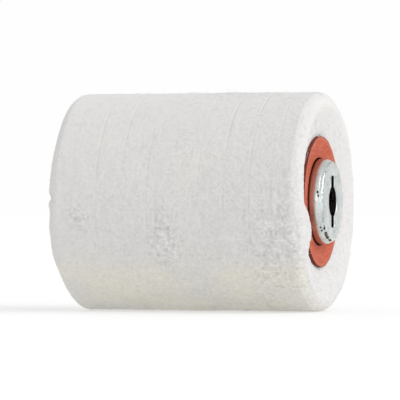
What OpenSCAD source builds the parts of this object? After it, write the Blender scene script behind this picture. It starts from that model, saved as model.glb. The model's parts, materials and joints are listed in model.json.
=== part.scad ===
// Felt polishing roller with a keyed steel hub.
// The roller's axis is Y, its keyed faces look along +Y and -Y, and the origin
// is the middle of the roller. All sizes are in millimetres.

/* [Felt drum] */
// Diameter of the felt drum
felt_d = 100; // [80:1:150]
// Length of the drum between the crests of its two end faces
felt_len = 120; // [90:1:180]
// Number of felt discs stacked on the core
disc_count = 10; // [6:1:12]
// Radius of the drum's soft outer corners
corner_r = 5.5; // [2:0.5:6]
// Chamfer on each disc's rim, which shows as a seam between two discs
seam_bevel = 0.4; // [0.1:0.1:1]

/* [Fibre washers] */
// Outer diameter of the vulcanised fibre washers
washer_d = 60; // [52:1:64]
// Thickness of a washer
washer_t = 2; // [1:0.5:3]
// How far a washer's face lies below the felt's crest, beside the cap
washer_sink = 4.6; // [3:0.1:5]
// How far a washer's outer edge is bowed outwards from its middle
washer_bow = 1.2; // [0:0.1:1.4]
// How far the felt stands above the back of the washer at the washer's edge
felt_lap = 0.6; // [0.1:0.1:1]
// Radial gap between a cap and the bore of its washer
washer_gap = 0.6; // [0.1:0.1:1]

/* [End caps] */
// Diameter of a cap where it passes through its washer
cap_d = 39; // [38:0.5:44]
// Diameter of a cap at its front edge
cap_front_d = 37.2; // [36.5:0.1:37.8]
// Height of a cap's face above its washer
cap_height = 6.4; // [5:0.1:8]
// Height above the washer at which the cap's side starts to narrow
cap_straight = 2.8; // [0.5:0.1:3.5]
// Thickness of the drawn sheet steel
cap_sheet = 1; // [0.8:0.1:1.1]
// Radius of the cap's front edge
cap_edge_r = 1.2; // [1.2:0.1:1.5]

/* [Keyed bore] */
// Diameter of the round bore
bore_d = 14; // [14:0.5:16]
// Width of the two opposite key slots
slot_w = 5.3; // [3:0.1:5.3]
// Length across both key slots, end to end
slot_span = 23.6; // [20:0.1:26]
// Radius of the corners of the key slots
slot_corner_r = 1.2; // [0.6:0.1:2]

/* [Core tube] */
// Wall thickness of the steel tube inside the felt
tube_wall = 1.5; // [1:0.1:2.5]

/* [Hidden] */
// Radial gap between parts that are slid together
slip = 0.05;
// How far a cap's skirt stops short of the end disc's inner face
skirt_gap = 0.2;
// How far the tube's end lies below the washer's face
tube_gap = 0.9;
// Extra length of a cutter past each face that it cuts
cut_over = 1;
// Steps in a rounded corner
arc_steps = 8;

felt_r = felt_d / 2;
half_len = felt_len / 2;
disc_t = felt_len / disc_count;
washer_r = washer_d / 2;
washer_face = half_len - washer_sink;
washer_back = washer_face - washer_t;
pocket_r = washer_r + 0.3;
rim_face = washer_face + washer_bow;
rim_back = washer_back + washer_bow;
felt_edge = rim_back + felt_lap;
// The dished face is the straight line from the washer's edge that touches the
// corner's arc.
dish_rise = half_len - corner_r - felt_edge;
dish_run = felt_r - corner_r - pocket_r;
dish_angle = atan2(dish_rise, dish_run) + asin(corner_r / norm([dish_rise, dish_run]));
cap_r = cap_d / 2;
felt_bore_r = cap_r + washer_gap;
cap_face = washer_face + cap_height;
skirt_end = half_len - disc_t + skirt_gap;
tube_r = cap_r - cap_sheet - slip;
tube_half = washer_face - tube_gap;

FELT_COLOUR = [0.90, 0.89, 0.86];
FIBRE_COLOUR = [0.78, 0.42, 0.33];
ZINC_COLOUR = [0.76, 0.79, 0.78];
STEEL_COLOUR = [0.42, 0.44, 0.45];

ENDS = ["rear", "front"];

$fn = 96;

function two_digits(i) = i < 10 ? str("0", i) : str(i);
function disc_name(i) = str("felt_disc_", two_digits(i));

// Turns a profile of [radius, height] points about the roller's axis, with
// heights running along +Y.
module turn_on_axis(profile) {
    rotate([-90, 0, 0]) rotate_extrude() polygon(profile);
}

// Places what is built for the front end at the named end.
module at_end(end) {
    if (end == "front") children();
    else mirror([0, 1, 0]) children();
}

// A quarter circle about a centre, from one angle to another.
function arc(centre, radius, from, to) = [
    for (k = [0:arc_steps])
        let (a = from + (to - from) * k / arc_steps)
        centre + radius * [cos(a), sin(a)]
];

// A felt disc from inside the stack, with its lower face at height y0.
module inner_felt_disc(y0) {
    bore_r = tube_r + slip;
    y1 = y0 + disc_t;
    turn_on_axis([
        [bore_r, y0],
        [felt_r - seam_bevel, y0],
        [felt_r, y0 + seam_bevel],
        [felt_r, y1 - seam_bevel],
        [felt_r - seam_bevel, y1],
        [bore_r, y1]
    ]);
}

// The felt disc at the front end: soft corner, dished face and washer pocket.
module end_felt_disc() {
    y0 = half_len - disc_t;
    turn_on_axis(concat(
        [
            [felt_bore_r, y0],
            [felt_r - seam_bevel, y0],
            [felt_r, y0 + seam_bevel]
        ],
        arc([felt_r - corner_r, half_len - corner_r], corner_r, 0, 90 + dish_angle),
        [
            [pocket_r, felt_edge],
            [pocket_r, rim_back],
            [washer_r, rim_back],
            [felt_bore_r, washer_back]
        ]
    ));
}

// Disc i of the stack, counted from the rear end.
module felt_disc(i) {
    color(FELT_COLOUR)
        if (i == 1) at_end("rear") end_felt_disc();
        else if (i == disc_count) at_end("front") end_felt_disc();
        else inner_felt_disc(-half_len + (i - 1) * disc_t);
}

// Steel tube that carries the felt discs and joins the two caps.
module core_tube() {
    color(STEEL_COLOUR)
        turn_on_axis([
            [tube_r - tube_wall, -tube_half],
            [tube_r, -tube_half],
            [tube_r, tube_half],
            [tube_r - tube_wall, tube_half]
        ]);
}

// Vulcanised fibre washer that presses on the end disc, bowed by the felt.
module fibre_washer(end) {
    color(FIBRE_COLOUR)
        at_end(end)
            turn_on_axis([
                [felt_bore_r, washer_back],
                [washer_r, rim_back],
                [washer_r, rim_face],
                [felt_bore_r, washer_face]
            ]);
}

// Outline of a drawn cap, taken in by an offset from its outer surface.
function cap_outline(inset) = concat(
    [
        [0, cap_face - inset]
    ],
    arc([cap_front_d / 2 - cap_edge_r, cap_face - cap_edge_r], cap_edge_r - inset, 90, 0),
    [
        [cap_r - inset, washer_face + cap_straight],
        [cap_r - inset, skirt_end]
    ]
);

// The round bore and its two opposite key slots, cut through a cap's face.
module keyed_hole_cutter() {
    depth = cap_sheet + 2 * cut_over;
    corner_x = slot_w / 2 - slot_corner_r;
    corner_y = slot_span / 2 - slot_corner_r;
    translate([0, cap_face - cap_sheet - cut_over, 0]) rotate([-90, 0, 0]) {
        cylinder(d = bore_d, h = depth);
        translate([-slot_w / 2, -corner_y, 0]) cube([slot_w, 2 * corner_y, depth]);
        translate([-corner_x, -slot_span / 2, 0]) cube([2 * corner_x, slot_span, depth]);
        for (x = [-corner_x, corner_x], y = [-corner_y, corner_y])
            translate([x, y, 0]) cylinder(r = slot_corner_r, h = depth, $fn = 24);
    }
}

// Drawn steel cap: keyed face, side that narrows to it and a skirt over the tube.
module end_cap(end) {
    color(ZINC_COLOUR)
        at_end(end)
            difference() {
                turn_on_axis(concat(
                    cap_outline(0),
                    [for (k = [len(cap_outline(0)) - 1:-1:0]) cap_outline(cap_sheet)[k]]
                ));
                keyed_hole_cutter();
            }
}

for (i = [1:disc_count])
    felt_disc(i);

core_tube();

for (end = ENDS) {
    fibre_washer(end);
    end_cap(end);
}
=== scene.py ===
"""Looks of a felt polishing roller: felt discs, fibre washers and keyed steel caps on a tube."""

import json
import logging
import math
from dataclasses import dataclass, field
from enum import Enum
from typing import Sequence

import bpy
import numpy as np
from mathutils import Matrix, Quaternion, Vector


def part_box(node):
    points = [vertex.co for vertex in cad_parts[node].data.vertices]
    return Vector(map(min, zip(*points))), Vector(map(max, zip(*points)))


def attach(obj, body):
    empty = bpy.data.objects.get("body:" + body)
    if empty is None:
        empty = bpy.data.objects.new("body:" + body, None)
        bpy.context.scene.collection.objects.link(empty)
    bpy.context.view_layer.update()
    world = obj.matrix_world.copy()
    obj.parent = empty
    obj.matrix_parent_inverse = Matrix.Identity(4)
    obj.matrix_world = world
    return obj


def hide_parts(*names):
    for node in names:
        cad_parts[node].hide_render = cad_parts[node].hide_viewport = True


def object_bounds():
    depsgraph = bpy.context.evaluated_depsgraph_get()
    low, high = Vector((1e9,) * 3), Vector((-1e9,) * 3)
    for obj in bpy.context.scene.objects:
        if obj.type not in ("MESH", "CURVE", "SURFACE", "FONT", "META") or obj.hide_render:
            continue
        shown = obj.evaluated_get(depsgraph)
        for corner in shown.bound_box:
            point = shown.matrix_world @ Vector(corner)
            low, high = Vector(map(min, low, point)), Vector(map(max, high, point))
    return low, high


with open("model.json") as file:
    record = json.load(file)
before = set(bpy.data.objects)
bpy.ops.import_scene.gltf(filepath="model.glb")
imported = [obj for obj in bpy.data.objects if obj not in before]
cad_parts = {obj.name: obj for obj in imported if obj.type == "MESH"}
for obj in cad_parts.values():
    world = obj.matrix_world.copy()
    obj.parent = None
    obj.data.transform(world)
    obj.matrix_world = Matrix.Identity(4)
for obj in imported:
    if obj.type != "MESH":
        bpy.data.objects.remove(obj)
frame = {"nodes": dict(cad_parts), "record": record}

CAD_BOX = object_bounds()
MM = 0.001
CLEAR = 0.05 * MM
WASHER_BOW = 1.2 * MM
BODY = "root"
LOG = logging.getLogger("roller")

Profile = list[tuple[float, float]]


class End(Enum):
    """The two ends of the roller, by the way each one faces along Y."""

    FRONT = 1
    REAR = -1

    @property
    def word(self) -> str:
        """The end's name as the CAD nodes spell it."""
        return self.name.lower()


class Turn(Enum):
    """Seeds that give each random pattern its own repeatable draw."""

    DISC_SIZE = 11
    SEAM = 23
    NAP = 37
    STREAK = 53
    LAP = 97
    HAIR = 113
    WASHER = 131
    CHIP = 149
    CURL = 167


# ---------------------------------------------------------------- noise


def lattice_value(cells: Sequence[np.ndarray], seed: int) -> np.ndarray:
    """Gives each point of a lattice a repeatable value.

    Args:
        cells: The lattice indices, one integer array per axis.
        seed: The number of the pattern.

    Returns:
        Values between -1 and 1.
    """
    mixed = np.full(cells[0].shape, seed * 7919 + 17, dtype=np.int64)
    for prime, index in zip((73856093, 19349663, 83492791), cells):
        mixed = mixed ^ (index.astype(np.int64) * prime)
        mixed = (mixed * 2654435761 + 12345) & 0xFFFFFFFF
        mixed = mixed ^ (mixed >> 15)
    return (mixed & 0xFFFFF) / float(0x7FFFF) - 1.0


def noise(points: np.ndarray, cell: Sequence[float], seed: int, around: int = 0) -> np.ndarray:
    """Smooth value noise on a lattice of the given cell size.

    Args:
        points: Coordinates, one row per point.
        cell: The lattice spacing along each coordinate.
        seed: The number of the pattern.
        around: How many cells the first coordinate has before it repeats, or 0.

    Returns:
        Values between -1 and 1.
    """
    scaled = points / np.asarray(cell)
    base = np.floor(scaled).astype(np.int64)
    part = scaled - base
    ease = part * part * (3.0 - 2.0 * part)
    total = np.zeros(len(points))
    for corner in range(8):
        steps = [(corner >> axis) & 1 for axis in range(3)]
        weight = np.ones(len(points))
        cells = []
        for axis, step in enumerate(steps):
            weight = weight * (ease[:, axis] if step else 1.0 - ease[:, axis])
            index = base[:, axis] + step
            cells.append(index % around if axis == 0 and around else index)
        total += weight * lattice_value(cells, seed)
    return total


def layered(points: np.ndarray, cell: float, seed: int, layers: int) -> np.ndarray:
    """Sums layers of noise, each half as large and half as strong as the last.

    Args:
        points: Coordinates in metres, one row per point.
        cell: The first layer's cell in metres.
        seed: The number of the pattern.
        layers: How many layers to sum.

    Returns:
        Values mostly between -1 and 1.
    """
    total = np.zeros(len(points))
    for layer in range(layers):
        step = cell / 2**layer
        total += noise(points, (step, step, step), seed + layer) / 2**layer
    return total


def ring_noise(degrees: np.ndarray, cells: int, seed: int) -> np.ndarray:
    """Smooth noise that only changes round the axis and closes on itself.

    Args:
        degrees: Angles about the axis.
        cells: How many cells one turn has.
        seed: The number of the pattern.

    Returns:
        Values between -1 and 1.
    """
    turn = (degrees / 360.0) % 1.0 * cells
    flat = np.stack([turn, np.zeros_like(turn), np.zeros_like(turn)], 1)
    return noise(flat, (1.0, 1.0, 1.0), seed, around=cells)


def smooth_step(values: np.ndarray, start: float, stop: float) -> np.ndarray:
    """Rises smoothly from 0 at start to 1 at stop, which may lie either way round."""
    part = np.clip((values - start) / (stop - start), 0.0, 1.0)
    return part * part * (3.0 - 2.0 * part)


def about_axis(points: np.ndarray) -> tuple[np.ndarray, np.ndarray]:
    """Each point's distance from the roller's axis, and its angle about it in degrees."""
    radius = np.hypot(points[:, 0], points[:, 2])
    return radius, np.degrees(np.arctan2(points[:, 2], points[:, 0]))


def degrees_from(degrees: np.ndarray, middle: float) -> np.ndarray:
    """How far angles lie from a middle one, the short way round."""
    return (degrees - middle + 180.0) % 360.0 - 180.0


def shrunk(radius: np.ndarray, amount: np.ndarray) -> np.ndarray:
    """The factors that bring points nearer to the axis by an amount, one row each."""
    return ((radius - amount) / np.maximum(radius, MM))[:, None]


# ---------------------------------------------------------------- modelling


def deselect() -> None:
    """Leaves nothing selected."""
    bpy.ops.object.select_all(action="DESELECT")


def only(piece: bpy.types.Object) -> None:
    """Makes one object the selected and active one."""
    deselect()
    piece.select_set(True)
    bpy.context.view_layer.objects.active = piece


def apply_modifiers(piece: bpy.types.Object) -> None:
    """Applies every modifier of a piece, first to last."""
    only(piece)
    for modifier in list(piece.modifiers):
        bpy.ops.object.modifier_apply(modifier=modifier.name)


def points_of(piece: bpy.types.Object) -> np.ndarray:
    """A piece's vertices in metres, one row each."""
    flat = np.zeros(len(piece.data.vertices) * 3)
    piece.data.vertices.foreach_get("co", flat)
    return flat.reshape(-1, 3)


def normals_of(piece: bpy.types.Object) -> np.ndarray:
    """A piece's vertex normals, one row each."""
    flat = np.zeros(len(piece.data.vertices) * 3)
    piece.data.vertices.foreach_get("normal", flat)
    return flat.reshape(-1, 3)


def set_points(piece: bpy.types.Object, points: np.ndarray) -> None:
    """Moves a piece's vertices to the given rows of metres."""
    piece.data.vertices.foreach_set("co", points.ravel())
    piece.data.update()


def set_attribute(piece: bpy.types.Object, name: str, values: np.ndarray) -> None:
    """Stores one number per vertex under a name that a material can read."""
    layer = piece.data.attributes.new(name, "FLOAT", "POINT")
    layer.data.foreach_set("value", values.astype(np.float32))


def turned(name: str, profile: Profile, steps: int) -> bpy.types.Object:
    """Turns a closed profile about the roller's axis with a screw modifier.

    Args:
        name: The new object's name.
        profile: Corners as (radius, place along Y), in metres, in order.
        steps: How many faces one turn has.

    Returns:
        The closed solid, with its normals outwards.
    """
    deselect()
    bpy.ops.mesh.primitive_circle_add(vertices=len(profile), radius=1.0, fill_type="NOTHING")
    piece = bpy.context.object
    piece.name = name
    set_points(piece, np.array([(radius, along, 0.0) for radius, along in profile]))
    turn = piece.modifiers.new("turn", "SCREW")
    turn.axis = "Y"
    turn.steps = turn.render_steps = steps
    turn.use_merge_vertices = True
    turn.merge_threshold = MM / 200
    apply_modifiers(piece)
    bpy.ops.object.mode_set(mode="EDIT")
    bpy.ops.mesh.select_all(action="SELECT")
    bpy.ops.mesh.normals_make_consistent(inside=False)
    bpy.ops.object.mode_set(mode="OBJECT")
    bpy.ops.object.shade_smooth()
    return piece


def cut(piece: bpy.types.Object, tool: bpy.types.Object, name: str) -> None:
    """Cuts a tool's shape out of a piece and removes the tool."""
    modifier = piece.modifiers.new(name, "BOOLEAN")
    modifier.object = tool
    modifier.operation = "DIFFERENCE"
    modifier.solver = "EXACT"
    apply_modifiers(piece)
    bpy.data.objects.remove(tool)


def settle(piece: bpy.types.Object, nodes: Sequence[str], material: bpy.types.Material) -> None:
    """Dresses a piece, puts it on the roller's body and hides the CAD nodes that it replaces.

    Args:
        piece: The finished object.
        nodes: The CAD nodes that it replaces.
        material: Its finish.
    """
    piece.data.materials.clear()
    piece.data.materials.append(material)
    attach(piece, BODY)
    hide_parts(*nodes)
    LOG.info("%s: %d faces", piece.name, len(piece.data.polygons))


# ---------------------------------------------------------------- finishes


class Nodes:
    """A material's node tree, with short calls for the nodes used here."""

    def __init__(self, name: str) -> None:
        """Starts a material with a Principled shader.

        Args:
            name: The material's name.
        """
        self.material = bpy.data.materials.new(name)
        self.material.use_nodes = True
        self.tree = self.material.node_tree
        self.shader = self.tree.nodes["Principled BSDF"]
        self.place = self.tree.nodes.new("ShaderNodeTexCoord").outputs["Object"]

    def link(self, source: bpy.types.NodeSocket, target: bpy.types.NodeSocket) -> None:
        """Joins an output to an input."""
        self.tree.links.new(source, target)

    def mapped(self, scale: tuple[float, float, float]) -> bpy.types.NodeSocket:
        """Object coordinates, stretched by a scale on each axis."""
        mapping = self.tree.nodes.new("ShaderNodeMapping")
        mapping.inputs["Scale"].default_value = scale
        self.link(self.place, mapping.inputs["Vector"])
        return mapping.outputs["Vector"]

    def noise(
        self,
        scale: float,
        detail: float = 3.0,
        distortion: float = 0.0,
        vector: bpy.types.NodeSocket | None = None,
    ) -> bpy.types.NodeSocket:
        """Adds a noise texture.

        Args:
            scale: Cells per metre.
            detail: Octaves.
            distortion: How far the pattern is bent.
            vector: Coordinates, or object coordinates if left out.

        Returns:
            The factor output.
        """
        texture = self.tree.nodes.new("ShaderNodeTexNoise")
        texture.inputs["Scale"].default_value = scale
        texture.inputs["Detail"].default_value = detail
        texture.inputs["Distortion"].default_value = distortion
        self.link(vector or self.place, texture.inputs["Vector"])
        return texture.outputs["Fac"]

    def attribute(self, name: str) -> bpy.types.NodeSocket:
        """Reads a number stored on the piece's vertices."""
        node = self.tree.nodes.new("ShaderNodeAttribute")
        node.attribute_name = name
        return node.outputs["Fac"]

    def span(
        self,
        source: bpy.types.NodeSocket,
        low: float,
        high: float,
        to_low: float = 0.0,
        to_high: float = 1.0,
    ) -> bpy.types.NodeSocket:
        """Maps one range of a value to another, clamped.

        Args:
            source: The value.
            low: The value that becomes to_low.
            high: The value that becomes to_high.
            to_low: The first end of the result.
            to_high: The other end of the result.

        Returns:
            The mapped value.
        """
        node = self.tree.nodes.new("ShaderNodeMapRange")
        for name, value in zip(("From Min", "From Max", "To Min", "To Max"), (low, high, to_low, to_high)):
            node.inputs[name].default_value = value
        self.link(source, node.inputs["Value"])
        return node.outputs["Result"]

    def blend(
        self,
        factor: bpy.types.NodeSocket,
        first: bpy.types.NodeSocket | tuple[float, float, float],
        second: bpy.types.NodeSocket | tuple[float, float, float],
    ) -> bpy.types.NodeSocket:
        """Mixes two colours.

        Args:
            factor: How much of the second colour shows.
            first: A colour or an output.
            second: A colour or an output.

        Returns:
            The mixed colour.
        """
        node = self.tree.nodes.new("ShaderNodeMix")
        node.data_type = "RGBA"
        self.link(factor, node.inputs["Factor"])
        for socket, value in ((node.inputs[6], first), (node.inputs[7], second)):
            if isinstance(value, tuple):
                socket.default_value = (*value, 1.0)
            else:
                self.link(value, socket)
        return node.outputs[2]

    def maths(
        self, operation: str, first: bpy.types.NodeSocket | float, second: bpy.types.NodeSocket | float
    ) -> bpy.types.NodeSocket:
        """Adds a maths node on two values or outputs."""
        node = self.tree.nodes.new("ShaderNodeMath")
        node.operation = operation
        for socket, value in zip(node.inputs, (first, second)):
            if isinstance(value, (int, float)):
                socket.default_value = value
            else:
                self.link(value, socket)
        return node.outputs["Value"]

    def bump(self, height: bpy.types.NodeSocket, depth_mm: float) -> None:
        """Raises the surface by a height pattern, whose full range is depth_mm."""
        node = self.tree.nodes.new("ShaderNodeBump")
        node.inputs["Strength"].default_value = 1.0
        node.inputs["Distance"].default_value = depth_mm * MM
        self.link(height, node.inputs["Height"])
        self.link(node.outputs["Normal"], self.shader.inputs["Normal"])

    def colour(self, source: bpy.types.NodeSocket) -> None:
        """Sends a colour to the shader."""
        self.link(source, self.shader.inputs["Base Color"])

    def roughness(self, source: bpy.types.NodeSocket) -> None:
        """Sends a roughness to the shader."""
        self.link(source, self.shader.inputs["Roughness"])


@dataclass(frozen=True)
class WoolFelt:
    """White pressed wool: matt, softly mottled and finely streaked the way it turns, with painted shade in
    its hollows and dents and painted highlights on its curl tops.
    """

    light: tuple[float, float, float] = (0.690, 0.683, 0.677)
    shade: tuple[float, float, float] = (0.60, 0.595, 0.59)
    # Painted highlight for the tops of curls.
    pale: tuple[float, float, float] = (0.800, 0.790, 0.775)
    cream: tuple[float, float, float] = (0.755, 0.731, 0.660)
    cream_shade: tuple[float, float, float] = (0.650, 0.625, 0.550)
    # Painted shade: the colour of pits, hollows between curls and dents.
    hollow_shade: tuple[float, float, float] = (0.40, 0.37, 0.32)

    def make(self) -> bpy.types.Material:
        """Builds the material."""
        nodes = Nodes("wool_felt")
        nodes.shader.inputs["Roughness"].default_value = 0.95
        nodes.shader.inputs["Specular IOR Level"].default_value = 0.12
        nodes.shader.inputs["Sheen Weight"].default_value = 0.20
        nodes.shader.inputs["Sheen Roughness"].default_value = 0.6
        clouds = nodes.noise(38.0, 3.0, 0.5)
        streaks = nodes.noise(70.0, 5.0, 0.3, nodes.mapped((1.0, 9.0, 1.0)))
        tufts = nodes.noise(650.0, 4.0, 1.4)
        grain = nodes.noise(900.0, 2.0, 0.8)
        hairs = nodes.noise(1700.0, 4.0, 2.4)
        faint = nodes.blend(nodes.span(clouds, 0.45, 0.70, 0.0, 0.3), self.light, self.cream)
        base = nodes.blend(nodes.attribute("creamy_below"), faint, self.cream)
        coarse = nodes.maths("ADD", nodes.maths("MULTIPLY", nodes.attribute("coarse"), 1.2), 0.08)
        shade = nodes.blend(nodes.attribute("creamy_below"), self.shade, self.cream_shade)
        lines = nodes.maths("MULTIPLY", nodes.span(streaks, 0.58, 0.36, 0.05, 0.35), coarse)
        lined = nodes.blend(lines, base, shade)
        freckles = nodes.maths("MULTIPLY", nodes.span(grain, 0.58, 0.38), coarse)
        grained = nodes.blend(freckles, lined, shade)
        patchy = nodes.maths("MULTIPLY", nodes.span(tufts, 0.56, 0.34, 0.05, 0.55), coarse)
        mottled = nodes.blend(patchy, grained, shade)
        # Painted highlight on the tops of curls.
        lit = nodes.blend(nodes.attribute("curl_highlight"), mottled, self.pale)
        # Painted shade in pits, between curls and in dents.
        nodes.colour(nodes.blend(nodes.attribute("shade_painted"), lit, self.hollow_shade))
        fuzz = nodes.maths("MULTIPLY", hairs, 0.4)
        nodes.bump(nodes.maths("ADD", nodes.maths("MULTIPLY", tufts, 0.6), fuzz), 0.32)
        return nodes.material


@dataclass(frozen=True)
class RedFibre:
    """Red vulcanised fibre: matt, faintly streaked sheet, with painted shade at its edges and a painted
    highlight band near its rim.
    """

    face: tuple[float, float, float] = (0.45, 0.075, 0.034)
    pale: tuple[float, float, float] = (0.54, 0.15, 0.09)
    # Dark red for the specks and for the painted shade at the washer's edges.
    edge: tuple[float, float, float] = (0.17, 0.035, 0.022)

    def make(self) -> bpy.types.Material:
        """Builds the material."""
        nodes = Nodes("red_fibre")
        nodes.shader.inputs["Specular IOR Level"].default_value = 0.12
        streaks = nodes.noise(260.0, 4.0, 0.5, nodes.mapped((1.0, 1.0, 3.5)))
        specks = nodes.noise(1400.0, 3.0, 1.0)
        plain = nodes.blend(nodes.span(streaks, 0.42, 0.72), self.face, self.pale)
        # Painted highlight: a paler band near the outer rim; also a paler patch on the face.
        base = nodes.blend(nodes.maths("MULTIPLY", nodes.attribute("worn"), 0.8), plain, self.pale)
        worn = nodes.blend(nodes.span(specks, 0.54, 0.72, 0.0, 0.6), base, self.edge)
        # Painted shade at the inner and outer rims and on the cut edge.
        nodes.colour(nodes.blend(nodes.attribute("rim"), worn, self.edge))
        nodes.roughness(nodes.span(streaks, 0.3, 0.7, 0.50, 0.68))
        nodes.bump(nodes.maths("ADD", streaks, nodes.maths("MULTIPLY", specks, 0.5)), 0.10)
        return nodes.material


@dataclass(frozen=True)
class ZincPlate:
    """Zinc-plated drawn steel: satin, cloudy, with dull worn spots, a painted reflection of the red washer
    low on its side and painted shade by the washer and in its hole.
    """

    bright: tuple[float, float, float] = (0.70, 0.74, 0.73)
    cloudy: tuple[float, float, float] = (0.55, 0.60, 0.59)
    worn: tuple[float, float, float] = (0.06, 0.05, 0.035)
    # Painted shade where the cap meets the washer and in the hole.
    painted_shade: tuple[float, float, float] = (0.09, 0.04, 0.03)
    # Painted reflection of the red washer.
    reflected_red: tuple[float, float, float] = (0.56, 0.37, 0.28)

    def make(self) -> bpy.types.Material:
        """Builds the material."""
        nodes = Nodes("zinc_plate")
        nodes.shader.inputs["Metallic"].default_value = 1.0
        clouds = nodes.noise(160.0, 4.0, 0.8)
        specks = nodes.noise(900.0, 4.0, 0.5)
        base = nodes.blend(nodes.span(clouds, 0.38, 0.62), self.bright, self.cloudy)
        spotted = nodes.blend(nodes.span(specks, 0.56, 0.70, 0.0, 0.45), base, self.worn)
        # Painted reflection of the red washer, low on the side.
        reflecting = nodes.blend(nodes.attribute("red_reflection"), spotted, self.reflected_red)
        # Painted shade by the washer and in the hole.
        shade_painted = nodes.blend(nodes.attribute("corner_and_hole_shade"), reflecting, self.painted_shade)
        gaps = nodes.span(nodes.noise(700.0, 2.0), 0.46, 0.60)
        broken = nodes.maths("MULTIPLY", nodes.attribute("edge"), gaps)
        rubbed = nodes.blend(nodes.maths("MULTIPLY", broken, 0.75), shade_painted, self.worn)
        nodes.colour(nodes.blend(nodes.attribute("wear"), rubbed, self.worn))
        nodes.roughness(nodes.span(clouds, 0.3, 0.7, 0.26, 0.36))
        nodes.bump(specks, 0.006)
        return nodes.material


@dataclass(frozen=True)
class DullSteel:
    """The plain steel tube inside the felt: dark and dull."""

    steel: tuple[float, float, float] = (0.10, 0.12, 0.12)
    rust: tuple[float, float, float] = (0.045, 0.04, 0.035)

    def make(self) -> bpy.types.Material:
        """Builds the material."""
        nodes = Nodes("dull_steel")
        nodes.shader.inputs["Metallic"].default_value = 0.8
        stains = nodes.noise(220.0, 4.0, 0.7)
        nodes.colour(nodes.blend(nodes.span(stains, 0.4, 0.62), self.steel, self.rust))
        nodes.roughness(nodes.span(stains, 0.3, 0.7, 0.42, 0.62))
        nodes.bump(stains, 0.05)
        return nodes.material


# ---------------------------------------------------------------- felt drum


@dataclass(frozen=True)
class Lap:
    """A tongue of felt drawn over the washer: four angles in degrees, and how far it reaches."""

    begins: float
    full: float
    fades: float
    ends: float
    reach: float


@dataclass(frozen=True)
class WornCrest:
    """A stretch of an end's crest that is worn down: middle and half width in degrees, depth."""

    middle: float
    half_turn: float
    depth: float


@dataclass(frozen=True)
class RoughPatch:
    """A patch of pulled-up nap: middle and half width in degrees, place along Y, half length."""

    middle: float
    half_turn: float
    place: float
    half_length: float


@dataclass(frozen=True)
class Dent:
    """A dent in a corner: middle and half width in degrees, place along Y, depth, how dark its painted
    shade is.
    """

    middle: float
    half_turn: float
    place: float
    depth: float
    dark: float


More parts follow.
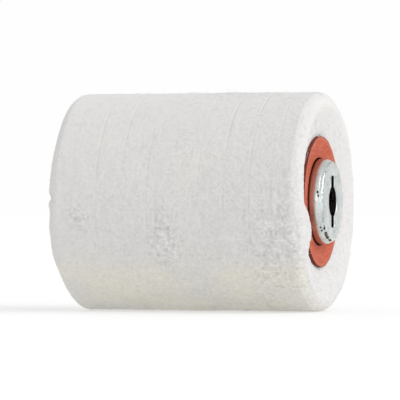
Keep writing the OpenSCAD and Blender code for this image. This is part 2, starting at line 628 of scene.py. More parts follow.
@dataclass
class FeltDrum:
    """The stack of felt discs, soft at its corners and dished at its ends."""

    finish: bpy.types.Material
    steps: int = 900
    grain: float = 0.36 * MM
    corner: float = 5.5 * MM
    skin: float = 2.0 * MM
    cap_gap: float = 0.6 * MM
    washer_gap: float = 0.3 * MM
    lip: float = 0.04 * MM
    lip_steps: int = 6
    lip_rise: float = 0.12 * MM
    lip_ripple: float = 0.12 * MM
    lip_fray: float = 0.35 * MM
    lap_wave: float = 0.4 * MM
    lap_thickness: float = 0.6 * MM
    lap_swell: float = 2.1 * MM
    laps: dict[End, Lap] = field(
        default_factory=lambda: {
            End.FRONT: Lap(-40.0, -31.0, -28.0, 17.0, 4.8 * MM),
            End.REAR: Lap(108.0, 130.0, 136.0, 160.0, 2.0 * MM),
        }
    )
    crest_wear: tuple[WornCrest, ...] = (
        WornCrest(42.0, 34.0, 0.75 * MM),
        WornCrest(-60.0, 24.0, 1.1 * MM),
        WornCrest(170.0, 40.0, 0.3 * MM),
    )
    dents: tuple[Dent, ...] = (
        Dent(2.0, 2.2, -59.8 * MM, 1.3, 0.8),
        Dent(-7.0, 4.5, -59.6 * MM, 0.8, 0.15),
        Dent(-68.0, 9.0, -60.6 * MM, 0.3, 1.0),
    )
    dent_length: float = 2.2 * MM
    patches: tuple[RoughPatch, ...] = (
        RoughPatch(-28.0, 24.0, 48.0 * MM, 9.0 * MM),
        RoughPatch(-20.0, 13.0, -4.0 * MM, 5.0 * MM),
        RoughPatch(-8.0, 5.0, -44.0 * MM, 4.0 * MM),
        RoughPatch(95.0, 20.0, 20.0 * MM, 12.0 * MM),
        RoughPatch(160.0, 18.0, -25.0 * MM, 10.0 * MM),
        RoughPatch(-120.0, 16.0, 5.0 * MM, 12.0 * MM),
    )
    seam_width: float = 0.4 * MM
    seam_stray: float = 0.35 * MM
    seam_fray: float = 0.12 * MM
    seam_depths: tuple[float, ...] = (0.0, 0.06, 0.10, 0.05, 0.10, 0.06, 0.09, 0.16, 0.20, 0.07, 0.0)
    streak_cells: int = 110
    curl_sizes: tuple[float, float] = (2.0 * MM, 1.1 * MM)
    pit_size: float = 1.1 * MM
    pit_level: float = 0.72
    hairs: int = 240
    hair_radius: float = 0.03 * MM
    hair_knots: int = 5
    smooth_angle: float = math.radians(60)

    def __post_init__(self) -> None:
        """Reads the sizes that the frame already fixes."""
        self.names = sorted(name for name in frame["nodes"] if name.startswith("felt_disc_"))
        self.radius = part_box(self.names[0])[1].x
        self.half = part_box(self.names[-1])[1].y
        self.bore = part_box("core_tube")[1].x + CLEAR
        self.cap_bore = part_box("end_cap_front")[1].x + self.cap_gap
        washer_low, washer_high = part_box("fibre_washer_front")
        self.washer_radius = washer_high.x
        self.washer_back = washer_low.y
        self.pocket = self.washer_radius + self.washer_gap
        self.rim_back = self.washer_back + WASHER_BOW
        self.lip_top = self.rim_back + self.lip_rise
        rise = self.half - self.corner - self.lip_top
        run = self.radius - self.corner - self.pocket
        self.dish = math.atan2(rise, run) + math.asin(self.corner / math.hypot(rise, run))

    def build(self) -> None:
        """Builds every disc, from the rear end to the front one."""
        for index, name in enumerate(self.names):
            low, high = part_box(name)
            if index == 0:
                disc = self.end_disc(name, End.REAR, high.y)
            elif index == len(self.names) - 1:
                disc = self.end_disc(name, End.FRONT, low.y)
            else:
                disc = self.inner_disc(name, low.y, high.y)
            self.wander(disc, index, low.y, high.y)
            self.roughen(disc, index)
            only(disc)
            bpy.ops.object.shade_smooth_by_angle(angle=self.smooth_angle)
            self.add_hairs(disc, index)
            settle(disc, [name], self.finish)

    def rim(self, start: float, stop: float) -> Profile:
        """Points along the drum's side from one place along Y to another."""
        count = max(2, round(abs(stop - start) / self.grain))
        return [(self.radius, start + (stop - start) * k / count) for k in range(count + 1)]

    def inner_disc(self, name: str, low: float, high: float) -> bpy.types.Object:
        """Makes a disc from inside the stack.

        Args:
            name: The CAD node's name.
            low: Its lower face along Y.
            high: Its upper face along Y.

        Returns:
            The disc, before its nap is raised.
        """
        under = self.radius - self.skin
        profile = [(self.bore, low), (under, low), *self.rim(low, high), (under, high), (self.bore, high)]
        return turned(f"visual_{name}", profile, self.steps)

    def corner_arc(self) -> Profile:
        """Points round the soft corner and over the crest."""
        sweep = math.pi / 2 + self.dish
        count = round(self.corner * sweep / self.grain)
        middle_r, middle_y = self.radius - self.corner, self.half - self.corner
        arc = []
        for k in range(1, count + 1):
            angle = sweep * k / count
            arc.append((middle_r + self.corner * math.cos(angle), middle_y + self.corner * math.sin(angle)))
        return arc

    def dished_face(self, start: tuple[float, float]) -> Profile:
        """Points from the crest's inner side straight down to the washer pocket."""
        start_r, start_y = start
        count = round((start_r - self.pocket) / self.grain)
        slope = []
        for k in range(1, count + 1):
            part = k / count
            inward, down = (start_r - self.pocket) * part, (start_y - self.lip_top) * part
            slope.append((start_r - inward, start_y - down))
        return slope

    def washer_pocket(self) -> Profile:
        """Points round the pocket's lip and along the seat behind the washer."""
        lip = []
        for k in range(1, self.lip_steps + 1):
            angle = math.pi * k / self.lip_steps
            inward, down = self.lip * math.sin(angle), self.lip * (1 - math.cos(angle))
            lip.append((self.pocket - min(inward, self.washer_gap - CLEAR), self.lip_top - down))
        neck = (self.pocket + 2 * CLEAR, self.lip_top - 2 * self.lip)
        seat = [(self.pocket, self.rim_back), (self.washer_radius, self.rim_back)]
        return [*lip, neck, *seat, (self.cap_bore, self.washer_back)]

    def end_disc(self, name: str, end: End, inner: float) -> bpy.types.Object:
        """Makes a disc at an end: soft corner, crest, dished face and washer pocket.

        Args:
            name: The CAD node's name.
            end: Which end of the roller it is.
            inner: Where its inner face lies along Y.

        Returns:
            The disc, before its nap is raised.
        """
        arc = self.corner_arc()
        section = [(self.cap_bore, abs(inner)), (self.radius - self.skin, abs(inner))]
        section += self.rim(abs(inner), self.half - self.corner) + arc
        section += self.dished_face(arc[-1]) + self.washer_pocket()
        profile = [(radius, along * end.value) for radius, along in section]
        disc = turned(f"visual_{name}", profile, self.steps)
        self.lap_over_washer(disc, end)
        return disc

    def lap_over_washer(self, disc: bpy.types.Object, end: End) -> None:
        """Pulls the felt's lip inwards over the washer, unevenly round the end.

        Args:
            disc: The end disc.
            end: Which end of the roller it is.
        """
        points = points_of(disc)
        radius, degrees = about_axis(points)
        along = points[:, 1] * end.value
        crest = self.radius - self.corner
        part = np.clip((crest - radius) / (crest - self.pocket), 0.0, 1.0)
        above = along > self.rim_back + CLEAR / 2
        neck = np.abs(radius - self.pocket - 2 * CLEAR) < CLEAR / 2
        neck &= above & (along < self.lip_top - self.lip)
        lap = self.laps[end]
        tongue = smooth_step(degrees, lap.begins, lap.full) * smooth_step(degrees, lap.ends, lap.fades)
        lifted = smooth_step(tongue, -0.2, 1.0)
        pulled = smooth_step(tongue, 0.05, 1.0)
        wavy = ring_noise(degrees, 46, Turn.LAP.value) + 0.5 * ring_noise(degrees, 120, Turn.LAP.value + 1)
        reach = (lap.reach + self.lap_wave * wavy) * pulled - self.lip_fray * (1.0 + wavy) * (1.0 - lifted)
        pull = np.where(above & ~neck, reach * part**2, 0.0)
        points[:, [0, 2]] *= shrunk(radius, pull)
        over_lip = np.clip((along - self.lip_top + 2 * self.lip) / (2 * self.lip), 0.0, 1.0)
        rise = (self.lap_thickness * over_lip + self.lap_swell) * lifted
        rise += self.lip_ripple * wavy * (1.0 - lifted)
        ease = np.where(neck, 1.0, part**2 * (3 - 2 * part)) * above
        points[:, 1] += (rise * ease - self.crest_loss(degrees, along) * (1 - part**4)) * end.value
        set_points(disc, points)

    def crest_loss(self, degrees: np.ndarray, along: np.ndarray) -> np.ndarray:
        """How much lower use has worn an end's crest, in metres.

        Args:
            degrees: Angles about the axis.
            along: Distances from the middle of the roller, in metres.

        Returns:
            One depth per point.
        """
        loss = np.zeros(len(degrees))
        for worn in self.crest_wear:
            loss += worn.depth * np.exp(-((degrees_from(degrees, worn.middle) / worn.half_turn) ** 4))
        return loss * smooth_step(along, self.half - self.corner, self.half - self.corner / 2)

    def wander(self, disc: bpy.types.Object, index: int, low: float, high: float) -> None:
        """Lets the seams on both sides of a disc stray from a true circle, and hollows them.

        Args:
            disc: The disc.
            index: Its number in the stack, from 0.
            low: Its lower face along Y.
            high: Its upper face along Y.
        """
        points = points_of(disc)
        radius, degrees = about_axis(points)
        part = np.clip((points[:, 1] - low) / (high - low), 0.0, 1.0)
        shallow = np.clip((radius - self.radius + self.skin) / self.skin, 0.0, 1.0)
        for seam, share, place in ((index, 1.0 - part, low), (index + 1, part, high)):
            if 0 < seam < len(self.names):
                seed = Turn.SEAM.value + seam
                stray = self.seam_stray * ring_noise(degrees, 9, seed)
                stray += self.seam_fray * ring_noise(degrees, 60, seed + 40)
                points[:, 1] += stray * share * shallow
                near = np.exp(-(((points[:, 1] - place) / self.seam_width) ** 2))
                uneven = np.clip(0.7 + 1.3 * ring_noise(degrees, 16, seed + 80), 0.0, 2.0)
                points[:, [0, 2]] *= shrunk(radius, self.seam_depths[seam] * MM * near * uneven * shallow)
        set_points(disc, points)

    def roughen(self, disc: bpy.types.Object, index: int) -> None:
        """Raises the nap, and marks the cream tone on the lower side, the coarse nap, the painted
        highlights on curl tops and the painted shade in pits, between curls and in dents.

        Args:
            disc: The disc.
            index: Its number in the stack, from 0.
        """
        points = points_of(disc)
        radius, degrees = about_axis(points)
        outside = np.where(self.shows(points, radius), 1.0, 0.0)
        coarse = self.coarseness(degrees, points[:, 1])
        broad = layered(points, 14 * MM, Turn.NAP.value, 2)
        tufts = layered(points, 2.4 * MM, Turn.NAP.value + 10, 3)
        pits = noise(points, (self.pit_size,) * 3, Turn.NAP.value + 20)
        pits = np.clip(pits - self.pit_level, 0.0, 1.0) / (1.0 - self.pit_level)
        size = noise(np.full((1, 3), index * 1.37), (1.0, 1.0, 1.0), Turn.DISC_SIZE.value)[0]
        curls = self.curled(points)
        dip, painted_shade = self.dented(points)
        even = 0.6 + 0.4 * smooth_step(radius, self.radius - 8 * MM, self.radius - 2 * MM)
        even *= np.clip(0.55 + coarse, 0.0, 1.0)
        height = 0.20 * broad + (0.06 * tufts + 0.02 * self.streaked(points) - 0.12 * pits) * even
        height += 0.05 * size + (0.02 + 0.45 * coarse) * curls - dip
        set_points(disc, points + self.outward(disc, points) * (height * MM * outside)[:, None])
        # Cream tone on the lower side of the drum.
        creamy_below = smooth_step(degrees, -24.0, -44.0) * smooth_step(degrees, -165.0, -125.0)
        creamy_below *= np.clip(0.8 + 0.5 * broad, 0.0, 1.0) * (radius > self.radius - 3 * MM)
        # Painted shade: darker in pits, between curls and in dents.
        hollow_shade = 0.2 * pits + (0.02 + 0.6 * coarse**1.5) * np.clip(0.10 - curls, 0.0, 1.0) + painted_shade
        set_attribute(disc, "creamy_below", creamy_below)
        set_attribute(disc, "coarse", coarse)
        # Painted highlight on the tops of curls.
        set_attribute(disc, "curl_highlight", np.clip(1.8 * coarse**1.5 * (curls - 0.32), 0.0, 0.8) * outside)
        # Painted shade in pits, between curls and in dents.
        set_attribute(disc, "shade_painted", np.clip(hollow_shade, 0.0, 0.85) * outside)

    def curled(self, points: np.ndarray) -> np.ndarray:
        """Twisted tufts of wool in two sizes: high on a curl, low between curls."""
        wide, narrow = self.curl_sizes
        curls = 0.45 - np.abs(noise(points, (wide,) * 3, Turn.CURL.value))
        return curls + 0.8 * (0.45 - np.abs(noise(points, (narrow,) * 3, Turn.CURL.value + 1)))

    def streaked(self, points: np.ndarray) -> np.ndarray:
        """Fine streaks that run the way the roller turns."""
        radius, degrees = about_axis(points)
        turn = (degrees / 360.0) % 1.0 * self.streak_cells
        turning = np.stack([turn, radius / MM, points[:, 1] / MM], 1)
        broad = noise(turning, (1.0, 0.7, 0.7), Turn.STREAK.value, around=self.streak_cells)
        fine = noise(turning, (1.0, 0.35, 0.35), Turn.STREAK.value + 5, around=self.streak_cells)
        return broad + 0.5 * fine

    def outward(self, disc: bpy.types.Object, points: np.ndarray) -> np.ndarray:
        """Which way the nap stands: along the radius on the side, so that the discs meet.

        Args:
            disc: The disc.
            points: Its vertices.

        Returns:
            One direction per vertex, which off the side is the vertex's normal.
        """
        radius, _ = about_axis(points)
        radial = points * (1.0, 0.0, 1.0) / np.maximum(radius, CLEAR)[:, None]
        straight = np.abs(points[:, 1]) < self.half - self.corner
        return np.where(straight[:, None], radial, normals_of(disc))

    def dented(self, points: np.ndarray) -> tuple[np.ndarray, np.ndarray]:
        """Works out the dents in the corners.

        Args:
            points: The disc's vertices.

        Returns:
            The depth in millimetres and how dark the painted shade in the dents is, for each vertex.
        """
        radius, degrees = about_axis(points)
        at_corner = smooth_step(radius, self.radius - 1.6 * self.corner, self.radius - 0.7 * self.corner)
        dip, painted_shade = np.zeros(len(points)), np.zeros(len(points))
        for dent in self.dents:
            off = degrees_from(degrees, dent.middle) / dent.half_turn
            near = np.exp(-(off**2) - ((points[:, 1] - dent.place) / self.dent_length) ** 2) * at_corner
            dip += dent.depth * near
            # Painted shade inside the dent.
            painted_shade = np.maximum(painted_shade, dent.dark * near)
        return dip, painted_shade

    def coarseness(self, degrees: np.ndarray, along: np.ndarray) -> np.ndarray:
        """How far use has pulled the nap up into curls, from 0 to 1.

        Args:
            degrees: Angles about the axis.
            along: Places along Y in metres.

        Returns:
            One value per point.
        """
        total = 0.24 + 0.24 * np.cos(np.radians(degrees + 55.0))
        total += 0.12 * np.clip(along / self.half, -1.0, 1.0)
        for patch in self.patches:
            off = degrees_from(degrees, patch.middle) / patch.half_turn
            total += np.exp(-(off**2) - ((along - patch.place) / patch.half_length) ** 2)
        return np.clip(total, 0.0, 1.0)

    def shows(self, points: np.ndarray, radius: np.ndarray) -> np.ndarray:
        """Which vertices lie on the drum's side or on its dished ends."""
        side = radius > self.radius - 1.5 * MM
        face = np.abs(points[:, 1]) > self.lip_top - self.lip
        return side | face

    def add_hairs(self, disc: bpy.types.Object, index: int) -> None:
        """Lays loose wool hairs on a disc's outer surface and joins them to it.

        Args:
            disc: The disc.
            index: Its number in the stack, from 0.
        """
        draw = np.random.default_rng(Turn.HAIR.value + index)
        points, normals = points_of(disc), normals_of(disc)
        radius, _ = about_axis(points)
        roots = np.flatnonzero(self.shows(points, radius))
        count = self.hairs * (2 if index in (0, len(self.names) - 1) else 1)
        curve = bpy.data.curves.new("hairs", "CURVE")
        curve.dimensions = "3D"
        curve.bevel_depth = self.hair_radius
        curve.bevel_resolution = 0
        curve.use_fill_caps = True
        for root in draw.choice(roots, count, replace=False):
            outward = Vector(normals[root])
            heading = outward.orthogonal().normalized()
            heading.rotate(Quaternion(outward, draw.uniform(0, math.tau)))
            bend = outward.cross(heading) * draw.uniform(-1.0, 1.0)
            length = draw.uniform(1.2, 3.6) * MM
            rise = draw.uniform(0.05, 0.5)
            spline = curve.splines.new("POLY")
            spline.points.add(self.hair_knots - 1)
            for k, knot in enumerate(spline.points):
                part = k / (self.hair_knots - 1)
                place = Vector(points[root]) + heading * length * part + bend * length * part * part * 0.6
                place += outward * length * rise * math.sin(math.pi * part) * 0.5
                knot.co = (*place, 1.0)
        hairs = bpy.data.objects.new("hairs", curve)
        bpy.context.scene.collection.objects.link(hairs)
        only(hairs)
        bpy.ops.object.convert(target="MESH")
        only(bpy.context.object)
        disc.select_set(True)
        bpy.context.view_layer.objects.active = disc
        bpy.ops.object.join()


# ---------------------------------------------------------------- washers


@dataclass
class FibreWasher:
    """A punched washer of red fibre, pressed on the felt's end."""

    end: End
    finish: bpy.types.Material
    steps: int = 540
    rings: int = 40
    edge_rings: int = 6
    gap: float = 0.6 * MM
    edge: float = 0.18 * MM
    ragged: float = 0.14 * MM
    frayed: float = 0.06 * MM
    ragged_depth: float = 0.6 * MM
    paler_towards: float = 12.0
    paler_width: float = 26.0

    def build(self) -> None:
        """Turns the washer, roughens its cut edge, lets its face wave and marks its painted shade, its
        painted highlight band and a paler patch.
        """
        self.node = f"fibre_washer_{self.end.word}"
        low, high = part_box(self.node)
        self.outer = high.x
        self.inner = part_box(f"end_cap_{self.end.word}")[1].x + self.gap
        self.rim_face = max(low.y * self.end.value, high.y * self.end.value)
        self.back = min(low.y * self.end.value, high.y * self.end.value)
        self.thickness = self.rim_face - self.back - WASHER_BOW
        profile = [(radius, along * self.end.value) for radius, along in self.section()]
        washer = turned(f"visual_{self.node}", profile, self.steps)
        self.wear(washer)
        settle(washer, [self.node], self.finish)

    def section(self) -> Profile:
        """The bowed sheet's section: its back, its cut edge, then its face from the rim inwards."""
        width = self.outer - self.inner
        face = []
        for k in range(self.rings + 1):
            reach = (width - self.edge) * k / self.rings
            face.append((self.inner + reach, self.back + self.thickness + WASHER_BOW * reach / width))
        rim_back = self.back + WASHER_BOW
        cut_edge = [(self.outer, rim_back + self.edge)]
        for k in range(1, self.edge_rings - 1):
            cut_edge.append((self.outer, rim_back + self.thickness * k / self.edge_rings))
        cut_edge.append((self.outer, self.rim_face - self.edge))
        return [(self.inner, self.back), (self.outer - self.edge, rim_back), *cut_edge, *reversed(face)]

    def wear(self, washer: bpy.types.Object) -> None:
        """Roughens the cut edge, lets the face wave, and marks the painted shade at the rims, the painted
        highlight band near the outer rim and a paler patch.

        Args:
            washer: The turned washer.
        """
        side, seed = self.end.value, Turn.WASHER.value
        points = points_of(washer)
        radius, degrees = about_axis(points)
        ragged = self.ragged * ring_noise(degrees, 70, seed)
        ragged = ragged + self.frayed * ring_noise(degrees, 200, seed + 1)
        at_rim = np.clip((radius - self.outer + self.ragged_depth) / self.ragged_depth, 0.0, 1.0)
        points[:, [0, 2]] *= shrunk(radius, (0.1 * MM - ragged) * at_rim)
        bow = WASHER_BOW * (radius - self.inner) / (self.outer - self.inner)
        on_face = points[:, 1] * side > self.back + self.thickness + bow - CLEAR
        wave = 0.09 * ring_noise(degrees, 5, seed + 2) + 0.04 * ring_noise(degrees, 17, seed + 3)
        points[:, 1] += np.where(on_face, (wave - 0.1) * MM * side, 0.0)
        set_points(washer, points)
        # Painted shade: dark rings at the inner and outer rims, and the whole cut edge.
        inner_rim_shade = np.clip((self.inner + 0.5 * MM - radius) / (0.5 * MM), 0.0, 1.0)
        outer_rim_shade = smooth_step(radius, self.outer - 0.7 * MM, self.outer - 0.3 * MM)
        set_attribute(washer, "rim", np.where(on_face, np.maximum(0.7 * inner_rim_shade, 0.6 * outer_rim_shade), 1.0))
        # Painted highlight: a paler band near the outer rim.
        worn = np.clip((radius - self.outer + 2.2 * MM) / (1.4 * MM), 0.0, 1.0)
        # A paler patch on the face, centred at paler_towards.
        paler = 0.7 * np.exp(-(((degrees - self.paler_towards) / self.paler_width) ** 2))
        paler *= smooth_step(radius, 21 * MM, 25 * MM)
        set_attribute(washer, "worn", np.maximum(worn, paler) * on_face)


# ---------------------------------------------------------------- caps


@dataclass(frozen=True)
class Chip:
    """A spot where the plating is chipped off: its angle, place and size."""

    degrees: float
    reach: float
    along: float
    size: float


@dataclass
class EndCap:
    """A drawn steel cap: keyed face, tapered side, skirt over the tube."""

    end: End
    finish: bpy.types.Material
    sheet: float = 1.0 * MM
    front_radius: float = 18.6 * MM
    straight: float = 2.8 * MM
    edge: float = 1.2 * MM
    broken: float = 0.4 * MM
    slot_width: float = 5.3 * MM
    slot_span: float = 23.6 * MM
    slot_corner: float = 1.2 * MM
    bar_depth: float = 8 * MM
    key_depth: float = 9 * MM
    fine_edge: float = 0.16 * MM
    steps: int = 192
    bore_steps: int = 96
    side_rings: int = 6
    taper_rings: int = 5
    edge_rings: int = 8
    smooth_angle: float = math.radians(35)
    chip_rise: float = 0.2 * MM
    side_nicks: tuple[tuple[float, float], ...] = (
        (13.0, 59.6 * MM), (8.0, 59.9 * MM), (-38.0, 60.0 * MM), (-44.0, 60.2 * MM), (150.0, 59.4 * MM),
    )
    edge_chips: tuple[float, ...] = (
        -42.0, -51.0, -53.5, -58.0, -63.0, -65.0, -71.0, -76.0, -79.0, 96.0, 131.0, -140.0,
    )

    def build(self) -> None:
        """Draws the cap from a ring, cuts its keyed hole and chips its plating."""
        node = f"end_cap_{self.end.word}"
        low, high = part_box(node)
        self.radius = high.x
        self.face = max(high.y, -low.y)
        self.skirt = min(abs(high.y), abs(low.y))
        self.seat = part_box("fibre_washer_front")[1].y - WASHER_BOW
        cap = self.shell(f"visual_{node}")
        cut(cap, self.keyed_tool(), "keyed_hole")
        self.soften(cap)
        self.chip(cap)
        self.mark_shade_and_reflection(cap)
        only(cap)
        bpy.ops.object.shade_smooth_by_angle(angle=self.smooth_angle)
        if self.end is End.REAR:
            self.turn_round(cap)
        settle(cap, [node], self.finish)

    def rings(self) -> Profile:
        """The outer surface's rings, from the skirt to the flat face."""
        top = self.seat + self.straight
        rings = [(self.radius, self.skirt)]
        for k in range(-1, self.side_rings):
            rings.append((self.radius, self.seat + self.straight * k / self.side_rings))
        lean = self.radius - self.front_radius
        rise = self.face - self.edge - self.seat - self.straight
        for k in range(self.taper_rings):
            part = k / self.taper_rings
            rings.append((self.radius - lean * part**2, top + rise * part))
        centre_r, centre_y = self.front_radius - self.edge, self.face - self.edge
        for k in range(self.edge_rings + 1):
            angle = math.pi / 2 * k / self.edge_rings
            rings.append((centre_r + self.edge * math.cos(angle), centre_y + self.edge * math.sin(angle)))
        return rings

    def shell(self, name: str) -> bpy.types.Object:
        """Extrudes a circle ring by ring into a cup, then gives the sheet its thickness.

        Args:
            name: The new object's name.

        Returns:
            The closed cup, without its hole.
        """
        rings = self.rings()
        deselect()
        bpy.ops.mesh.primitive_circle_add(
            vertices=self.steps, radius=rings[0][0], fill_type="NOTHING", rotation=(-math.pi / 2, 0, 0),
            location=(0, rings[0][1], 0),
        )
        cap = bpy.context.object
        cap.name = name
        bpy.ops.object.transform_apply(location=True, rotation=True, scale=True)
        bpy.ops.object.mode_set(mode="EDIT")
        bpy.ops.mesh.select_all(action="SELECT")
        for (radius_a, along_a), (radius_b, along_b) in zip(rings, rings[1:]):
            bpy.ops.mesh.extrude_region_move(TRANSFORM_OT_translate={"value": (0, along_b - along_a, 0)})
            ratio = radius_b / radius_a
            bpy.ops.transform.resize(value=(ratio, 1, ratio), center_override=(0, along_b, 0))
        bpy.ops.mesh.edge_face_add()
        bpy.ops.mesh.select_all(action="SELECT")
        bpy.ops.mesh.normals_make_consistent(inside=False)
        bpy.ops.object.mode_set(mode="OBJECT")
        wall = cap.modifiers.new("sheet", "SOLIDIFY")
        wall.thickness = self.sheet
        wall.offset = -1.0
        wall.use_even_offset = True
        apply_modifiers(cap)
        return cap

    def keyed_tool(self) -> bpy.types.Object:
        """The solid whose shape the keyed hole has: a round bar with two keys."""
        bore = frame["record"]["mounts"][0]["dims"]["r_mm"] * MM
        deselect()
        bpy.ops.mesh.primitive_cylinder_add(
            vertices=self.bore_steps, radius=bore, depth=self.bar_depth, rotation=(math.pi / 2, 0, 0),
            location=(0, self.face, 0),
        )
        bar = bpy.context.object
        bpy.ops.object.transform_apply(location=True, rotation=True, scale=True)
        deselect()
        bpy.ops.mesh.primitive_cube_add(size=1.0, location=(0, self.face, 0))
        keys = bpy.context.object
        keys.scale = (self.slot_width, self.key_depth, self.slot_span)
        bpy.ops.object.transform_apply(location=True, rotation=True, scale=True)
        bpy.ops.object.mode_set(mode="EDIT")
        bpy.ops.mesh.select_all(action="DESELECT")
        bpy.ops.object.mode_set(mode="OBJECT")
        for edge in keys.data.edges:
            first, second = (keys.data.vertices[v].co for v in edge.vertices)
            edge.select = abs(first.y - second.y) > MM
        bpy.ops.object.mode_set(mode="EDIT")
        bpy.ops.mesh.select_mode(type="EDGE")
        bpy.ops.mesh.bevel(offset=self.slot_corner, segments=6, affect="EDGES")
        bpy.ops.object.mode_set(mode="OBJECT")
        joined = bar.modifiers.new("keys", "BOOLEAN")
        joined.object = keys
        joined.operation = "UNION"
        joined.solver = "EXACT"
        apply_modifiers(bar)
        bpy.data.objects.remove(keys)
        return bar

    def soften(self, cap: bpy.types.Object) -> None:
        """Rounds the front edge of the keyed hole, then breaks the other sharp edges."""
        only(cap)
        bpy.ops.object.mode_set(mode="EDIT")
        bpy.ops.mesh.select_mode(type="EDGE")
        bpy.ops.mesh.select_all(action="DESELECT")
        bpy.ops.object.mode_set(mode="OBJECT")
        for edge in cap.data.edges:
            corners = [cap.data.vertices[v].co for v in edge.vertices]
            by_hole = all(math.hypot(place.x, place.z) < self.slot_span * 0.6 for place in corners)
            edge.select = by_hole and all(place.y > self.face - CLEAR for place in corners)
        bpy.ops.object.mode_set(mode="EDIT")
        bpy.ops.mesh.bevel(offset=self.broken, segments=3, affect="EDGES")
        bpy.ops.object.mode_set(mode="OBJECT")
        bevel = cap.modifiers.new("broken_edge", "BEVEL")
        bevel.width = self.fine_edge
        bevel.segments = 2
        bevel.limit_method = "ANGLE"
        bevel.angle_limit = math.radians(50)
        apply_modifiers(cap)
        bpy.ops.object.shade_smooth_by_angle(angle=self.smooth_angle)

    def chips(self, draw: np.random.Generator) -> list[Chip]:
        """Where the plating is chipped: nicks on the side, then chips on the front edge.

        Args:
            draw: The source of their uneven sizes.

        Returns:
            The chips, in the order in which they are cut.
        """
        diagonal = self.edge * math.sqrt(0.5)
        taper = self.face - self.edge - self.seat - self.straight
        slope = 0.8 * (self.radius - self.front_radius) / taper
        chips = []
        for degrees, along in self.side_nicks:
            reach = self.radius - max(0.0, along - self.seat - self.straight) * slope
            chips.append(Chip(degrees, reach + self.chip_rise, along, draw.uniform(0.55, 0.75) * MM))
        reach = self.front_radius - self.edge + diagonal + self.chip_rise
        for degrees in self.edge_chips:
            size = draw.uniform(0.6, 1.2) * MM
            chips.append(Chip(degrees, reach, self.face - self.edge + diagonal, size))
        return chips

    def chip(self, cap: bpy.types.Object) -> None:
        """Cuts the chips out of the cap's plating and marks the steel that they bare."""
        draw = np.random.default_rng(Turn.CHIP.value)
        shells = []
        for chip in self.chips(draw):
            angle = math.radians(chip.degrees)
            centre = Vector((chip.reach * math.cos(angle), chip.along, chip.reach * math.sin(angle)))
            deselect()
            bpy.ops.mesh.primitive_ico_sphere_add(subdivisions=2, radius=chip.size, location=centre)
            tool = bpy.context.object
            tool.scale = (1.0, draw.uniform(0.6, 1.0), draw.uniform(0.9, 1.6))
            tool.rotation_euler = (0.0, -angle, 0.0)
            bpy.ops.object.transform_apply(location=True, rotation=True, scale=True)
            shells.append(points_of(tool))
            cut(cap, tool, "chip")
        made = points_of(cap)
        bare = np.zeros(len(made))
        for shell in shells:
            gap = np.linalg.norm(made[:, None, :] - shell[None, :, :], axis=2).min(axis=1)
            bare[gap < 0.002 * MM] = 1.0
        set_attribute(cap, "wear", bare)

    def mark_shade_and_reflection(self, cap: bpy.types.Object) -> None:
        """Marks the painted shade by the washer and in the hole, the painted reflection of the red washer
        on the side, and the rubbed edge.
        """
        made = points_of(cap)
        radius, degrees = about_axis(made)
        outside = radius > self.front_radius - self.sheet / 2
        # Painted shade in the corner by the washer and inside the hole.
        corner_and_hole_shade = np.clip((self.seat + 0.95 * MM - made[:, 1]) / (0.75 * MM), 0.0, 1.0) * outside
        in_hole = (radius < self.slot_span * 0.52) & (made[:, 1] < self.face - self.broken * 0.7)
        set_attribute(cap, "corner_and_hole_shade", np.maximum(corner_and_hole_shade, in_hole * 0.9))
        # Painted reflection of the red washer: strongest near it and towards the top and bottom.
        turn = np.abs(np.sin(np.radians(degrees)))
        height = (made[:, 1] - self.seat) / MM
        red_reflection = smooth_step(height / (4.6 + 1.4 * turn), 1.0, 0.15) * (0.45 + 0.5 * turn)
        set_attribute(cap, "red_reflection", red_reflection * outside)
        bend = np.abs(radius - self.front_radius + self.edge * 0.45) < 0.25 * MM
        set_attribute(cap, "edge", (bend & (made[:, 1] > self.face - self.edge)).astype(float))

    def turn_round(self, cap: bpy.types.Object) -> None:
        """Turns a cap built at the front end to the rear one."""
        only(cap)
        cap.rotation_euler = (0, 0, math.pi)
        bpy.ops.object.transform_apply(location=True, rotation=True, scale=True)


# ---------------------------------------------------------------- studio


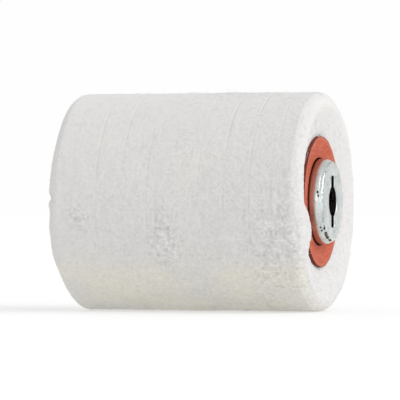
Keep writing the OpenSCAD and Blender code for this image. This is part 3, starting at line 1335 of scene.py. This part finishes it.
@dataclass
class Studio:
    """Floor, camera and soft light."""

    distance: float = 1.652
    azimuth: float = 107.0
    lens: float = 322.0
    shift: tuple[float, float] = (-0.0091, 0.0040)
    floor_radius: float = 12.0
    floor_drop: float = 0.4 * MM
    floor_grey: float = 0.50
    floor_glow: float = 0.46
    room_light: float = 0.85
    room_seen: float = 0.99

    def floor(self) -> None:
        """Lays a plain pale floor under the roller, lit from below like a light table."""
        deselect()
        bpy.ops.mesh.primitive_circle_add(
            vertices=96, radius=self.floor_radius, fill_type="NGON",
            location=(0, 0, CAD_BOX[0].z - self.floor_drop),
        )
        floor = bpy.context.object
        floor.name = "floor"
        material = bpy.data.materials.new("floor")
        material.use_nodes = True
        shader = material.node_tree.nodes["Principled BSDF"]
        shader.inputs["Base Color"].default_value = (self.floor_grey,) * 3 + (1.0,)
        shader.inputs["Emission Color"].default_value = (1.0, 1.0, 1.0, 1.0)
        shader.inputs["Emission Strength"].default_value = self.floor_glow
        shader.inputs["Roughness"].default_value = 0.9
        shader.inputs["Specular IOR Level"].default_value = 0.1
        floor.data.materials.append(material)

    def camera(self) -> None:
        """Sets a long lens level with the axis, swung towards the front end."""
        data = bpy.data.cameras.new("camera")
        data.lens = self.lens
        data.shift_x, data.shift_y = self.shift
        data.clip_end = 60.0
        camera = bpy.data.objects.new("camera", data)
        bpy.context.scene.collection.objects.link(camera)
        turn = math.radians(self.azimuth)
        back = Vector((math.sin(turn), -math.cos(turn), 0.0))
        camera.location = back * self.distance
        camera.rotation_euler = (-back).to_track_quat("-Z", "Y").to_euler()
        bpy.context.scene.camera = camera

    def lamp(self, name: str, towards: Vector, spread: float, power: float) -> None:
        """Adds a wide soft light that reaches the roller and the floor evenly.

        Args:
            name: The light's name.
            towards: The direction from the roller to the light.
            spread: How wide the light looks, in degrees.
            power: Its strength in watts per square metre.
        """
        data = bpy.data.lights.new(name, "SUN")
        data.angle = math.radians(spread)
        data.energy = power
        lamp = bpy.data.objects.new(name, data)
        lamp.rotation_euler = (-towards).to_track_quat("-Z", "Y").to_euler()
        bpy.context.scene.collection.objects.link(lamp)

    def light(self) -> None:
        """Sets a bright even room and two soft lights."""
        scene = bpy.context.scene
        scene.view_settings.view_transform = "Standard"
        world = bpy.data.worlds.new("room")
        world.use_nodes = True
        scene.world = world
        tree = world.node_tree
        room = tree.nodes["Background"]
        room.inputs["Color"].default_value = (1.0, 1.0, 1.0, 1.0)
        room.inputs["Strength"].default_value = self.room_light
        seen = tree.nodes.new("ShaderNodeBackground")
        seen.inputs["Color"].default_value = (1.0, 1.0, 1.0, 1.0)
        seen.inputs["Strength"].default_value = self.room_seen
        path = tree.nodes.new("ShaderNodeLightPath")
        mix = tree.nodes.new("ShaderNodeMixShader")
        tree.links.new(path.outputs["Is Camera Ray"], mix.inputs["Fac"])
        tree.links.new(room.outputs["Background"], mix.inputs[1])
        tree.links.new(seen.outputs["Background"], mix.inputs[2])
        tree.links.new(mix.outputs["Shader"], tree.nodes["World Output"].inputs["Surface"])
        self.lamp("key", Vector((0.10, 0.87, 0.48)), 50.0, 1.35)
        self.lamp("front", Vector((0.94, 0.30, 0.12)), 36.0, 0.22)


def main() -> None:
    """Builds the roller and the studio."""
    logging.basicConfig(level=logging.INFO, format="%(name)s: %(message)s")
    felt = WoolFelt().make()
    fibre = RedFibre().make()
    zinc = ZincPlate().make()
    FeltDrum(felt).build()
    for end in End:
        FibreWasher(end, fibre).build()
        EndCap(end, zinc).build()
    tube = frame["nodes"]["core_tube"]
    tube.data.materials.clear()
    tube.data.materials.append(DullSteel().make())
    LOG.info("core_tube: kept from the frame")
    studio = Studio()
    studio.floor()
    studio.camera()
    studio.light()


if __name__ == "__main__":
    main()
